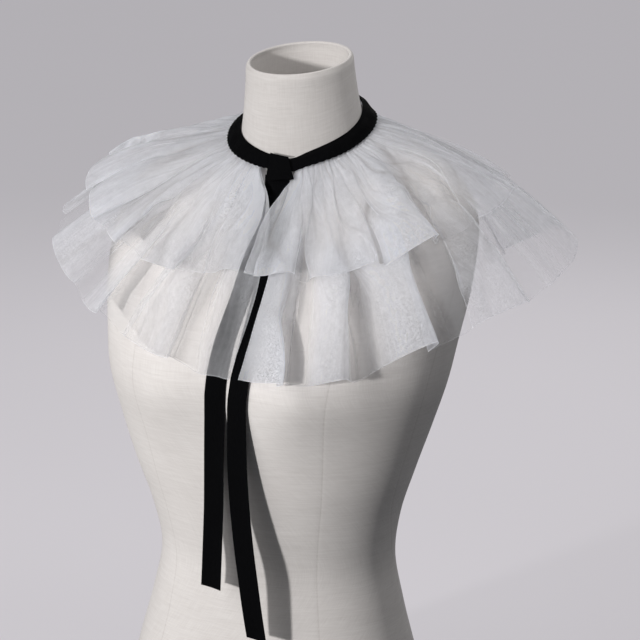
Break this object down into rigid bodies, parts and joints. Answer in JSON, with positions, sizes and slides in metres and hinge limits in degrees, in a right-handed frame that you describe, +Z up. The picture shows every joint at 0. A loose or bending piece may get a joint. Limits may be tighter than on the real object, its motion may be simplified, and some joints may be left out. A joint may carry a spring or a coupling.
{
  "type": "two-tier tulle ruff collar on a limbless dress form",
  "caption": "Sheer two-tier gathered tulle shoulder collar tied at the front with a black ribbon, worn on a plain linen dress form with an open neck.",
  "frame": {"origin": "middle of the flat face that the dress form stands on", "axes": "+Z up, -Y to the front where the ribbon is tied, +X to the form's left side"},
  "size_m": [0.5189, 0.3378, 0.6922],
  "materials": {
    "linen": "plain woven, matte",
    "tulle": "sheer net, matte",
    "ribbon": "matte grosgrain"
  },
  "bodies": {
    "root": {"dress_form_neck": "linen", "dress_form_torso": "linen", "neck_ribbon": "ribbon", "ribbon_knot": "ribbon", "ribbon_tail_left": "ribbon", "ribbon_tail_right": "ribbon", "tulle_lower_tier": "tulle", "tulle_upper_tier": "tulle"}
  },
  "joints": []
}
